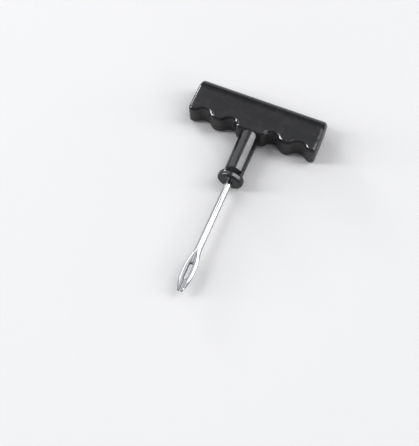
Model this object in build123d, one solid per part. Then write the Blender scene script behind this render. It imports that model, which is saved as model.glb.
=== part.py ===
from build123d import *
import os
from math import acos, cos, radians, sin, tan

# Tyre plug insertion tool: a moulded T-handle, made as two shells that meet at mid-thickness,
# around the tang of a split-eye needle that a cross pin locks in place.
# Frame: millimetres, X along the crossbar, Y from the needle's tip to the palm face, Z up.
# The tool lies on its back face on Z = 0, and the origin is under the centre of its length and width.

# Driving dimensions
total_length = 134.6
handle_width = 84.0
handle_depth = 25.5
handle_thickness = 16.4
wall = 2.2

# Crossbar
palm_nose_depth = 8.5
palm_arc_angle = 45.0
corner_radius = 2.5
edge_radius = 2.3
finger_dip_depth = 3.2
finger_bump_height = 0.8
stem_root_height = 1.0
wave_stations = (6.8, 13.6, 22.8, 31.6)

# Stem and collar
stem_width = 12.2
stem_corner_radius = 5.4
stem_overlap = 8.0
stem_root_step = 0.05
neck_diameter = 12.0
neck_corner_radius = 5.9
neck_overlap = 1.2
neck_step = 0.02
collar_end_gap = 34.3
collar_length = 5.0
flare_radius = 6.5
collar_edge_radius = 1.7

# Needle: the eye's stations are (distance from its shoulder, width, thickness, corner radius)
shank_diameter = 4.3
eye_stations = (
    (0.0, 4.4, 4.4, 2.1),
    (5.0, 6.5, 3.5, 1.6),
    (9.5, 7.7, 3.0, 1.3),
    (14.5, 8.0, 2.9, 1.25),
    (19.5, 7.4, 2.8, 1.2),
    (23.5, 5.7, 2.5, 1.1),
    (27.0, 3.3, 2.0, 0.9),
)
slot_width = 2.4
slot_start = 9.0
slot_length = 10.5
tip_gap = 0.9

# Tang, cross pin and their fits
tang_end_depth = 9.0
pin_depth = 14.5
pin_diameter = 2.0
pin_length = 15.0
pin_chamfer = 0.2
bore_clearance = 0.02
tang_end_clearance = 0.3
pin_end_clearance = 0.1

# Ribs, posts and pegs inside the shells
block_half_width = 8.5
rib_thickness = 1.6
rib_stations = (18.5, 29.0)
post_diameter = 5.2
post_stations = (23.75, 34.8)
peg_diameter = 2.4
peg_reach = 3.0
peg_root = 1.0
socket_clearance = 0.1

# Positions worked out from the driving dimensions
palm_y = total_length / 2
tip_y = -total_length / 2
finger_y = palm_y - handle_depth
collar_end_y = finger_y - collar_end_gap
shoulder_y = tip_y + eye_stations[-1][0]
tang_end_y = palm_y - tang_end_depth
pin_y = palm_y - pin_depth
half_width = handle_width / 2
mid_z = handle_thickness / 2
collar_radius = handle_thickness / 2
flare_angle = acos(1 - (collar_radius - neck_diameter / 2) / (flare_radius + collar_edge_radius))
flare_length = (flare_radius + collar_edge_radius) * sin(flare_angle)
flare_start_y = collar_end_y + collar_length - collar_edge_radius + flare_length
shank_radius = shank_diameter / 2
cavity_front_y = finger_y + finger_dip_depth + wall
post_y = (cavity_front_y + palm_y - wall) / 2


def wave(points):
    """A line through the points, level at each one, as two equal tangent arcs between neighbours."""
    pieces = []
    for start, end in zip(points, points[1:]):
        middle = ((start[0] + end[0]) / 2, (start[1] + end[1]) / 2)
        first = TangentArc(start, middle, tangent=(1, 0))
        second = TangentArc(middle, end, tangent=first % 1)
        pieces += [first, second]
    return pieces


def finger_points():
    """The stem root, dips and bump of one arm's finger edge, from the stem outwards."""
    heights = (
        finger_y - stem_root_height,
        finger_y + finger_dip_depth,
        finger_y - finger_bump_height,
        finger_y + finger_dip_depth,
    )
    points = list(zip(wave_stations, heights))
    points.append((half_width - corner_radius, finger_y))
    return points


def crossbar_plan():
    """The crossbar seen from above, with a square palm edge."""
    points = finger_points()
    root_y = points[0][1]
    corner_arc = TangentArc(points[-1], (half_width, finger_y + corner_radius), tangent=(1, 0))
    edge = wave(points) + [
        corner_arc,
        Line(corner_arc @ 1, (half_width, palm_y + 1)),
        Line((half_width, palm_y + 1), (0, palm_y + 1)),
        Line((0, palm_y + 1), (0, root_y)),
        Line((0, root_y), points[0]),
    ]
    half = make_face(Wire(edge))
    return half + mirror(half, about=Plane.YZ)


def palm_section(depth, half_thickness, reach):
    """Section in (Y, Z): flat faces, and a palm side of three tangent arcs that ends at Y = 0."""
    turn = radians(palm_arc_angle)
    ratio = tan(turn) - 1 / cos(turn)
    flank_radius = (depth + half_thickness * ratio) / (1 + ratio)
    flat_end = (-depth, half_thickness)
    flank_end = (
        -depth + flank_radius * sin(turn),
        half_thickness - flank_radius * (1 - cos(turn)),
    )
    upper = TangentArc(flat_end, flank_end, tangent=(1, 0))
    nose = ThreePointArc(flank_end, (0, 0), (flank_end[0], -flank_end[1]))
    lower = TangentArc(nose @ 1, (-depth, -half_thickness), tangent=nose % 1)
    sides = [
        upper,
        nose,
        lower,
        Line((-depth, -half_thickness), (-reach, -half_thickness)),
        Line((-reach, -half_thickness), (-reach, half_thickness)),
        Line((-reach, half_thickness), flat_end),
    ]
    return make_face(Wire(sides))


def palm_bar(inset, reach, half_length):
    """A bar along X with the palm section, set in from the outer surface."""
    section = palm_section(palm_nose_depth - inset, mid_z - inset, reach)
    plane = Plane(origin=(0, palm_y - inset, mid_z), x_dir=(0, 1, 0), z_dir=(1, 0, 0))
    return extrude(plane * section, amount=half_length, both=True)


def is_rim_edge(edge):
    """True for the rims of the front and back faces on the finger side, and of the two ends."""
    near = 0.01
    middle = edge @ 0.5
    past_dips = middle.Y > finger_y + finger_dip_depth + 1
    if abs(abs(middle.X) - half_width) < near:
        level = abs((edge @ 0).Z - (edge @ 1).Z) < near
        return past_dips and (level or middle.Y > palm_y - palm_nose_depth)
    on_face = min(abs(middle.Z), abs(middle.Z - handle_thickness)) < near
    return on_face and not past_dips


def crossbar():
    """The crossbar, with one rounding that runs all the way round both faces and both ends."""
    block = palm_bar(0, handle_depth + 10, half_width + 1) & extrude(crossbar_plan(), amount=handle_thickness)
    rims = [edge for edge in block.edges() if is_rim_edge(edge)]
    return fillet(rims, edge_radius)


def across_needle(y, width, depth, radius):
    """A rounded rectangle square to the needle's axis."""
    plane = Plane(origin=(0, y, mid_z), x_dir=(1, 0, 0), z_dir=(0, -1, 0))
    return plane * RectangleRounded(width, depth, radius)


def stem():
    """The stem, flush with the crossbar's faces at its root and round where it runs into the flare."""
    root_y = finger_y + stem_overlap
    root = across_needle(root_y, stem_width, handle_thickness - 2 * stem_root_step, stem_corner_radius)
    neck_size = neck_diameter + 2 * neck_step
    neck = across_needle(flare_start_y - neck_overlap, neck_size, neck_size, neck_corner_radius)
    return loft([root, neck])


def collar():
    """The round collar: a hollow flare that runs out from the neck to the rim, and rounded rim edges."""
    neck_radius = neck_diameter / 2
    flare_end = (
        neck_radius + flare_radius * (1 - cos(flare_angle)),
        flare_start_y - flare_radius * sin(flare_angle),
    )
    rim_start = (collar_radius, flare_start_y - flare_length)
    flare = TangentArc((neck_radius, flare_start_y), flare_end, tangent=(0, -1))
    back_edge = TangentArc(flare_end, rim_start, tangent=flare % 1)
    side = Line(rim_start, (collar_radius, collar_end_y + collar_edge_radius))
    front_edge = TangentArc(side @ 1, (collar_radius - collar_edge_radius, collar_end_y), tangent=(0, -1))
    outline = [
        flare,
        back_edge,
        side,
        front_edge,
        Line(front_edge @ 1, (0, collar_end_y)),
        Line((0, collar_end_y), (0, flare_start_y)),
        Line((0, flare_start_y), (neck_radius, flare_start_y)),
    ]
    profile = Pos(0, 0, mid_z) * make_face(Wire(outline))
    return revolve(profile, axis=Axis((0, 0, mid_z), (0, 1, 0)), revolution_arc=360)


def along_needle(radius, start_y, end_y):
    """A cylinder on the needle's axis."""
    circle = Plane(origin=(0, start_y, mid_z), x_dir=(1, 0, 0), z_dir=(0, 1, 0)) * Circle(radius)
    return extrude(circle, amount=end_y - start_y)


def cross_pin(radius, length):
    """A cylinder on the cross pin's axis."""
    circle = Plane(origin=(-length / 2, pin_y, mid_z), x_dir=(0, 1, 0), z_dir=(1, 0, 0)) * Circle(radius)
    return extrude(circle, amount=length)


def cavities():
    """The hollow bays of both arms, between the ribs, and the one behind the tang."""
    hollow = palm_bar(wall, palm_y - wall - cavity_front_y, half_width - wall)
    spans = []
    inner_end = block_half_width
    for station in rib_stations:
        spans.append((inner_end, station - rib_thickness / 2))
        inner_end = station + rib_thickness / 2
    spans.append((inner_end, half_width - wall))
    bays = []
    for low, high in spans:
        for side in (-1, 1):
            slab = Box(high - low, 2 * handle_depth, handle_thickness)
            bays.append(hollow & Pos(side * (low + high) / 2, palm_y, mid_z) * slab)
    return bays


def posts():
    """The posts that carry the locating pegs and sockets, as (x, y) centres."""
    return [(side * station, post_y) for station in post_stations for side in (-1, 1)]


def handle():
    """The whole handle as one hollow body, before it is parted."""
    body = crossbar() + stem() + collar()
    for bay in cavities():
        body -= bay
    for x, y in posts():
        body += Pos(x, y, mid_z) * Cylinder(post_diameter / 2, handle_thickness - wall)
    bore = along_needle(shank_radius + bore_clearance, collar_end_y - 1, tang_end_y + tang_end_clearance)
    seat = cross_pin(pin_diameter / 2 + bore_clearance, pin_length + 2 * pin_end_clearance)
    return body - bore - seat


def half_space(side):
    """A box that covers the front half (side 1) or the back half (side -1)."""
    size = 2 * total_length
    return Pos(0, 0, mid_z + side * size / 2) * Box(size, size, size)


def handle_front_shell(body):
    shell = body & half_space(1)
    depth = peg_reach + socket_clearance
    for x, y in posts():
        shell -= Pos(x, y, mid_z + depth / 2) * Cylinder(peg_diameter / 2 + socket_clearance, depth)
    return shell


def handle_back_shell(body):
    shell = body & half_space(-1)
    for x, y in posts():
        peg = Cylinder(peg_diameter / 2, peg_reach + peg_root)
        shell += Pos(x, y, mid_z + (peg_reach - peg_root) / 2) * peg
    return shell


def needle():
    """One steel rod: tang, round shank, and a forged leaf-shaped eye that is open at the tip."""
    rod = along_needle(shank_radius, shoulder_y, tang_end_y)
    sections = [
        across_needle(shoulder_y - distance, width, thickness, radius)
        for distance, width, thickness, radius in eye_stations
    ]
    body = rod + loft(sections)
    slot_y = shoulder_y - slot_start
    slot = Pos(0, slot_y - slot_length / 2, mid_z) * Rot(0, 0, 90) * SlotOverall(slot_length, slot_width)
    body -= extrude(slot, amount=shank_diameter, both=True)
    gap_length = slot_y - slot_length / 2 - tip_y + 1
    gap = Box(tip_gap, gap_length, 2 * shank_diameter)
    body -= Pos(0, tip_y - 1 + gap_length / 2, mid_z) * gap
    return body - cross_pin(pin_diameter / 2, handle_thickness)


def tang_cross_pin():
    pin = cross_pin(pin_diameter / 2, pin_length)
    ends = pin.edges().filter_by(GeomType.CIRCLE)
    return chamfer(ends, pin_chamfer)


def main():
    os.makedirs("parts", exist_ok=True)
    body = handle()
    parts = {
        "handle_front_shell": handle_front_shell(body),
        "handle_back_shell": handle_back_shell(body),
        "needle": needle(),
        "tang_cross_pin": tang_cross_pin(),
    }
    for name, shape in parts.items():
        export_step(shape, f"parts/{name}.step")


main()
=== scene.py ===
import bpy
from math import cos, pi, radians, sin
from mathutils import Matrix, Vector


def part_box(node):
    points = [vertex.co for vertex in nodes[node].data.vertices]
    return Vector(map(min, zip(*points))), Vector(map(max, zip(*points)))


# Looks of the tyre plug insertion tool, in metres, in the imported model's own frame: X along the crossbar,
# Y from the needle's tip to the palm face, Z up. The tool lies on its back face on the floor, at Z = 0.

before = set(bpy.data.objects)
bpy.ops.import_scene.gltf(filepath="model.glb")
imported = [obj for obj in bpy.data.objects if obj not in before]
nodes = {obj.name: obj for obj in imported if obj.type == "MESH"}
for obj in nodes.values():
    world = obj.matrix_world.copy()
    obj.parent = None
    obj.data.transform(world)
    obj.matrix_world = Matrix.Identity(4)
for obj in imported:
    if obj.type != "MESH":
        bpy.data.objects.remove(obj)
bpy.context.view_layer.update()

MM = 0.001

# Camera: seen from above the right-hand side of the needle
camera_target = Vector((-0.0005, -0.0217, 0.0082))
camera_azimuth = 27.4
camera_elevation = 66.9
camera_roll = -4.8
camera_distance = 0.5197
camera_lens = 70.4

# Surroundings: brightness overhead and low down, the share of it left at the front and at the back,
# and the brightness of the pale rim that carries the floor on past its edge
world_zenith = 1.32
world_horizon = 0.42
world_front = 0.55
world_back = 0.55
world_rim = 0.86
world_tint = (0.98, 0.98, 1.03, 1)
floor_radius = 1.6
floor_shade = 0.35
tone_gamma = 0.86

# Soft boxes: name, direction from the object, direction of the long side, long and short side for each
# metre of distance, and brightness
light_distance = 3.0
soft_boxes = (
    ("right_strip", (0.52, 0.31, 0.79), (-0.84, 0.0, 0.54), 0.93, 0.34, 9.4),
    ("right_low", (0.90, 0.34, 0.29), (-0.31, 0.0, 0.95), 0.40, 0.30, 7.6),
    ("left_fill", (-0.70, 0.35, 0.63), (0.67, 0.0, 0.74), 1.00, 0.50, 1.6),
    ("left_strip", (-0.80, -0.26, 0.52), (0.48, 0.20, 0.85), 0.95, 0.22, 21.0),
    ("left_spot", (-0.80, 0.54, 0.24), (0.0, 0.0, 1.0), 0.18, 0.18, 40.0),
    ("right_spot", (0.86, -0.27, 0.43), (0.0, 1.0, 0.0), 0.16, 0.16, 22.0),
)

# Colours of the moulding, of the plating and of the cross pin
black_deep = (0.0045, 0.0047, 0.0054, 1)
black_soft = (0.0075, 0.0077, 0.0086, 1)
smudge_tone = (0.013, 0.013, 0.0135, 1)
scratch_tone = (0.060, 0.060, 0.062, 1)
dust_tone = (0.16, 0.155, 0.145, 1)
plate_bright = (0.48, 0.485, 0.495, 1)
plate_line = (0.28, 0.285, 0.295, 1)
# painted reflection: the dark tone of the lines painted along the rod
reflection_line_tone = (0.03, 0.03, 0.033, 1)
plate_haze = (0.50, 0.50, 0.49, 1)
# painted shade: the dark tone in the slot and where the rod enters the collar
slot_and_mouth_shade_tone = (0.035, 0.033, 0.03, 1)
steel_dark = (0.46, 0.455, 0.45, 1)
steel_light = (0.60, 0.60, 0.60, 1)

# Places on the object that its wear and marks follow
shank_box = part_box("needle")
handle_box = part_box("handle_front_shell")
parting_z = handle_box[0].z
collar_front_y = handle_box[0].y
tip_y = shank_box[0].y
eye_length = 0.027
slot_centre_y = tip_y + 0.0128
slot_half_length = 0.0060
slot_half_width = 0.0016

# Dark reflection lines painted along the rod at fixed places across it: (x, half width, strength), in
# millimetres
painted_reflection_lines = (
    (0.45, 0.50, 1.0),
    (-0.95, 0.34, 0.9),
    (1.50, 0.26, 0.8),
)


class Nodes:
    """A material's or a world's node tree, with a short way to add and join nodes."""

    def __init__(self, tree):
        self.tree = tree
        tree.nodes.clear()

    def add(self, kind, inputs=None, **settings):
        node = self.tree.nodes.new(kind)
        for name, value in settings.items():
            setattr(node, name, value)
        for name, value in (inputs or {}).items():
            self.feed(node, name, value)
        return node

    def feed(self, node, name, value):
        socket = node.inputs[name]
        if isinstance(value, bpy.types.NodeSocket):
            self.tree.links.new(value, socket)
        else:
            socket.default_value = value

    def math(self, operation, first, second=0.0, third=0.0, clamp=False):
        values = {0: first, 1: second}
        if operation == "MULTIPLY_ADD":
            values[2] = third
        return self.add("ShaderNodeMath", values, operation=operation, use_clamp=clamp).outputs[0]

    def steps(self, value, low, high, to_low=0.0, to_high=1.0):
        """The value's smooth rise from to_low at low to to_high at high."""
        inputs = {"Value": value, 1: low, 2: high, 3: to_low, 4: to_high}
        return self.add("ShaderNodeMapRange", inputs, interpolation_type="SMOOTHSTEP").outputs[0]

    def noise(self, place, scale, detail=2.0, roughness=0.5, distortion=0.0):
        inputs = {
            "Vector": place,
            "Scale": scale,
            "Detail": detail,
            "Roughness": roughness,
            "Distortion": distortion,
        }
        return self.add("ShaderNodeTexNoise", inputs).outputs["Fac"]

    def stretched(self, place, factors, turn=0.0):
        """The place, turned about Z and scaled along each axis."""
        inputs = {"Vector": place, "Rotation": (0.0, 0.0, radians(turn)), "Scale": factors}
        return self.add("ShaderNodeMapping", inputs).outputs[0]

    def mix(self, share, first, second):
        node = self.add("ShaderNodeMix", data_type="RGBA")
        self.feed(node, "Factor", share)
        self.feed(node, 6, first)
        self.feed(node, 7, second)
        return node.outputs[2]

    def bump(self, height, distance, strength=1.0, normal=None):
        inputs = {"Height": height, "Distance": distance, "Strength": strength}
        if normal is not None:
            inputs["Normal"] = normal
        return self.add("ShaderNodeBump", inputs).outputs[0]


def new_material(name):
    material = bpy.data.materials.new(name)
    material.use_nodes = True
    return material, Nodes(material.node_tree)


def grey(value):
    return (value, value, value, 1)


def object_place(n):
    """The point in the row's frame, in millimetres."""
    place = n.add("ShaderNodeTexCoord").outputs["Object"]
    return n.add("ShaderNodeVectorMath", {0: place, "Scale": 1000.0}, operation="SCALE").outputs[0]


def scratches(n, place, turn, density):
    """Fine straight scratches that run one way, and only in some patches: 1 in a scratch, 0 elsewhere."""
    run = n.stretched(place, (6.0, 0.12, 6.0), turn)
    line = n.steps(n.noise(run, 1.0, 3.0, 0.6), 0.68, 0.74)
    patch = n.steps(n.noise(place, 0.09, 2.0), 1.0 - density, 1.05 - density)
    return n.math("MULTIPLY", line, patch)


def black_plastic():
    """Glossy black moulding: slight waviness, a parting line, smudges, light scratches and duller walls."""
    material, n = new_material("moulded_black_plastic")
    place = object_place(n)
    split = n.add("ShaderNodeSeparateXYZ", {0: place})
    smudges = n.steps(n.noise(place, 0.11, 5.0, 0.62, 0.8), 0.42, 0.68)
    flow = n.noise(n.stretched(place, (0.05, 0.22, 0.3), 12.0), 1.0, 3.0)
    marks = n.math("MAXIMUM", scratches(n, place, 24.0, 0.48), scratches(n, place, -52.0, 0.42))
    dust = n.steps(n.noise(place, 3.2, 1.0), 0.80, 0.84)
    upright = n.add("ShaderNodeSeparateXYZ", {0: n.add("ShaderNodeNewGeometry").outputs["Normal"]})
    wall = n.steps(n.math("ABSOLUTE", upright.outputs["Z"]), 0.10, 0.45, 1.0, 0.0)
    parting = n.math("ABSOLUTE", n.math("SUBTRACT", split.outputs["Z"], parting_z / MM))
    seam = n.steps(parting, 0.05, 0.16, 1.0, 0.0)

    tone = n.mix(flow, black_deep, black_soft)
    tone = n.mix(n.math("MULTIPLY", smudges, 0.5), tone, smudge_tone)
    tone = n.mix(n.math("MULTIPLY", marks, 0.7), tone, scratch_tone)
    tone = n.mix(n.math("MULTIPLY", dust, 0.35), tone, dust_tone)
    tone = n.mix(seam, tone, grey(0.003))

    rough = n.math("MULTIPLY_ADD", smudges, 0.13, 0.08)
    rough = n.math("MULTIPLY_ADD", wall, 0.20, rough)
    rough = n.math("MULTIPLY_ADD", marks, 0.22, rough)
    rough = n.math("MULTIPLY_ADD", n.noise(place, 1.6, 4.0), 0.05, rough)
    rough = n.math("MULTIPLY_ADD", dust, 0.3, rough, clamp=True)

    waves = n.bump(n.noise(place, 0.10, 1.0), 0.05 * MM, 0.9)
    peel = n.bump(n.noise(place, 1.1, 2.0), 0.004 * MM, 0.8, waves)
    cuts = n.bump(n.math("SUBTRACT", 1.0, marks), 0.006 * MM, 0.6, peel)
    normal = n.bump(n.math("SUBTRACT", 1.0, seam), 0.05 * MM, 0.9, cuts)

    shader = n.add("ShaderNodeBsdfPrincipled", {
        "Base Color": tone,
        "Roughness": rough,
        "IOR": 1.5,
        "Normal": normal,
    })
    n.add("ShaderNodeOutputMaterial", {"Surface": shader.outputs[0]})
    return material


def bright_chrome():
    """Bright plating over a drawn rod and a forged eye: fine drawn lines and painted dark reflection lines
    along the rod, ripples, and painted shade in the slot and where the rod enters the collar.
    """
    material, n = new_material("bright_chrome_plate")
    place = object_place(n)
    split = n.add("ShaderNodeSeparateXYZ", {0: place})
    x, y = split.outputs["X"], split.outputs["Y"]
    drawn = n.noise(n.stretched(place, (5.5, 0.03, 5.5)), 1.0, 4.0, 0.65)
    lines = n.steps(drawn, 0.50, 0.62)
    wander = n.math("MULTIPLY_ADD", n.noise(n.stretched(place, (0.0, 0.05, 0.0)), 1.0, 3.0), 0.5, -0.25)
    # Painted reflection: dark lines at fixed places along the rod, patchy, and stronger near the collar
    reflection_lines = 0.0
    for mark_x, mark_width, mark_depth in painted_reflection_lines:
        offset = n.math("ABSOLUTE", n.math("SUBTRACT", n.math("ADD", x, wander), mark_x))
        mark = n.steps(offset, 0.4 * mark_width, mark_width, mark_depth, 0.0)
        reflection_lines = n.math("MAXIMUM", reflection_lines, mark)
    reflection_line_patches = n.steps(n.noise(n.stretched(place, (0.6, 0.07, 0.6)), 1.0, 2.0), 0.30, 0.55, 0.5, 1.0)
    near_collar = n.steps(y, collar_front_y / MM - 45.0, collar_front_y / MM - 12.0, 0.55, 1.0)
    reflection_lines = n.math("MULTIPLY", n.math("MULTIPLY", reflection_lines, reflection_line_patches), near_collar)
    forged = n.steps(y, tip_y / MM + 0.7 * eye_length / MM, tip_y / MM + 1.15 * eye_length / MM, 1.0, 0.0)
    ripples = n.math("MULTIPLY", n.noise(place, 0.42, 2.0), forged)
    haze = n.steps(n.noise(place, 0.35, 4.0, 0.6), 0.45, 0.7)
    marks = n.math("MAXIMUM", scratches(n, place, 8.0, 0.55), scratches(n, place, -70.0, 0.46))
    # Painted shade: darker edges and walls in the eye's slot, and a darker band on the rod where it enters
    # the collar
    across = n.steps(n.math("ABSOLUTE", x), slot_half_width / MM - 0.35, slot_half_width / MM, 1.0, 0.0)
    along = n.math("ABSOLUTE", n.math("SUBTRACT", y, slot_centre_y / MM))
    along = n.steps(along, slot_half_length / MM - 0.3, slot_half_length / MM + 0.2, 1.0, 0.0)
    facing = n.add("ShaderNodeSeparateXYZ", {0: n.add("ShaderNodeNewGeometry").outputs["Normal"]})
    side = n.steps(n.math("ABSOLUTE", facing.outputs["Z"]), 0.15, 0.45, 1.0, 0.0)
    inside = n.steps(n.math("ABSOLUTE", x), slot_half_width / MM - 0.25, slot_half_width / MM, 1.0, 0.0)
    cut = n.math("MULTIPLY", n.math("MULTIPLY", side, inside), forged)
    slot_edge = n.math("MAXIMUM", n.math("MULTIPLY", n.math("MULTIPLY", across, along), 0.5), cut)
    mouth = n.steps(y, collar_front_y / MM - 0.9, collar_front_y / MM + 0.2)
    painted_slot_and_mouth_shade = n.math("MAXIMUM", n.math("MULTIPLY", slot_edge, 0.9), n.math("MULTIPLY", mouth, 0.4))

    tone = n.mix(lines, plate_bright, plate_line)
    # painted dark reflection lines
    tone = n.mix(n.math("MULTIPLY", reflection_lines, 0.95), tone, reflection_line_tone)
    tone = n.mix(n.math("MULTIPLY", haze, 0.20), tone, plate_haze)
    tone = n.mix(n.math("MULTIPLY", marks, 0.35), tone, grey(0.36))
    # painted shade in the slot and at the collar's mouth
    tone = n.mix(painted_slot_and_mouth_shade, tone, slot_and_mouth_shade_tone)

    rough = n.math("MULTIPLY_ADD", haze, 0.08, 0.07)
    rough = n.math("MULTIPLY_ADD", lines, 0.10, rough)
    rough = n.math("MULTIPLY_ADD", marks, 0.15, rough)
    rough = n.math("MULTIPLY_ADD", painted_slot_and_mouth_shade, 0.30, rough, clamp=True)

    draw = n.bump(drawn, 0.012 * MM, 0.8)
    forge = n.bump(ripples, 0.05 * MM, 0.9, draw)
    normal = n.bump(n.math("SUBTRACT", 1.0, marks), 0.004 * MM, 0.6, forge)

    shader = n.add("ShaderNodeBsdfPrincipled", {
        "Base Color": tone,
        "Metallic": 1.0,
        "Roughness": rough,
        "Normal": normal,
    })
    n.add("ShaderNodeOutputMaterial", {"Surface": shader.outputs[0]})
    return material


def ground_steel():
    """Plain steel of the cross pin, ground round its axis."""
    material, n = new_material("ground_steel")
    place = object_place(n)
    rings = n.noise(n.stretched(place, (9.0, 0.4, 0.4)), 1.0, 3.0)
    tone = n.mix(rings, steel_dark, steel_light)
    rough = n.math("MULTIPLY_ADD", rings, 0.2, 0.22)
    shader = n.add("ShaderNodeBsdfPrincipled", {
        "Base Color": tone,
        "Metallic": 1.0,
        "Roughness": rough,
        "Normal": n.bump(rings, 0.006 * MM, 0.7),
    })
    n.add("ShaderNodeOutputMaterial", {"Surface": shader.outputs[0]})
    return material


def pale_floor():
    """A plain pale floor, as a wide disc."""
    material, n = new_material("pale_floor")
    tone = n.mix(n.noise(object_place(n), 0.004, 2.0), grey(floor_shade), grey(1.03 * floor_shade))
    shader = n.add("ShaderNodeBsdfPrincipled", {"Base Color": tone, "Roughness": 0.85})
    n.add("ShaderNodeOutputMaterial", {"Surface": shader.outputs[0]})
    bpy.ops.mesh.primitive_circle_add(vertices=96, radius=floor_radius, fill_type="NGON", location=(0, 0, 0))
    floor = bpy.context.object
    floor.name = "floor"
    floor.data.materials.append(material)


def soft_box(name, toward, along, long_side, short_side, brightness):
    """A flat light in the direction toward, facing the object, with its long side along the other vector."""
    light = bpy.data.lights.new(name, "AREA")
    light.shape = "RECTANGLE"
    light.size = long_side * light_distance
    light.size_y = short_side * light_distance
    light.energy = brightness * pi * light.size * light.size_y
    lamp = bpy.data.objects.new(name, light)
    bpy.context.scene.collection.objects.link(lamp)
    away = Vector(toward).normalized()
    run = Vector(along)
    run = (run - away * run.dot(away)).normalized()
    across = away.cross(run)
    turn = Matrix((run, across, away)).transposed().to_4x4()
    lamp.matrix_world = Matrix.Translation(away * light_distance) @ turn


def studio_world():
    """Even surroundings: bright overhead, dimmer low down and at the front and back, over a pale rim."""
    world = bpy.data.worlds.new("studio")
    bpy.context.scene.world = world
    world.use_nodes = True
    n = Nodes(world.node_tree)
    way = n.add("ShaderNodeSeparateXYZ", {0: n.add("ShaderNodeTexCoord").outputs["Generated"]})
    height = n.steps(way.outputs["Z"], 0.15, 0.92, world_horizon, world_zenith)
    front = n.steps(way.outputs["Y"], -0.60, 0.15, world_front, 1.0)
    rear = n.steps(way.outputs["Y"], 0.38, 0.66, 1.0, world_back)
    strength = n.math("MULTIPLY", n.math("MULTIPLY", height, front), rear)
    rim = n.steps(way.outputs["Z"], 0.10, 0.32, world_rim, 0.0)
    strength = n.math("MAXIMUM", strength, rim)
    back = n.add("ShaderNodeBackground", {"Color": world_tint, "Strength": strength})
    n.add("ShaderNodeOutputWorld", {"Surface": back.outputs[0]})


def camera():
    data = bpy.data.cameras.new("camera")
    data.lens = camera_lens
    data.sensor_width = 36.0
    eye = bpy.data.objects.new("camera", data)
    bpy.context.scene.collection.objects.link(eye)
    tilt = radians(camera_elevation)
    turn = radians(camera_azimuth)
    back = Vector((sin(turn) * cos(tilt), -cos(turn) * cos(tilt), sin(tilt)))
    facing = (-back).to_track_quat("-Z", "Y").to_matrix().to_4x4()
    roll = Matrix.Rotation(radians(camera_roll), 4, "Z")
    eye.matrix_world = Matrix.Translation(camera_target + back * camera_distance) @ facing @ roll
    bpy.context.scene.camera = eye


def paint(name, material):
    node = nodes[name]
    node.data.materials.clear()
    node.data.materials.append(material)


plastic = black_plastic()
paint("handle_front_shell", plastic)
paint("handle_back_shell", plastic)
paint("needle", bright_chrome())
paint("tang_cross_pin", ground_steel())

pale_floor()
studio_world()
for box_values in soft_boxes:
    soft_box(*box_values)
camera()

bpy.context.scene.view_settings.view_transform = "Standard"
bpy.context.scene.view_settings.gamma = tone_gamma
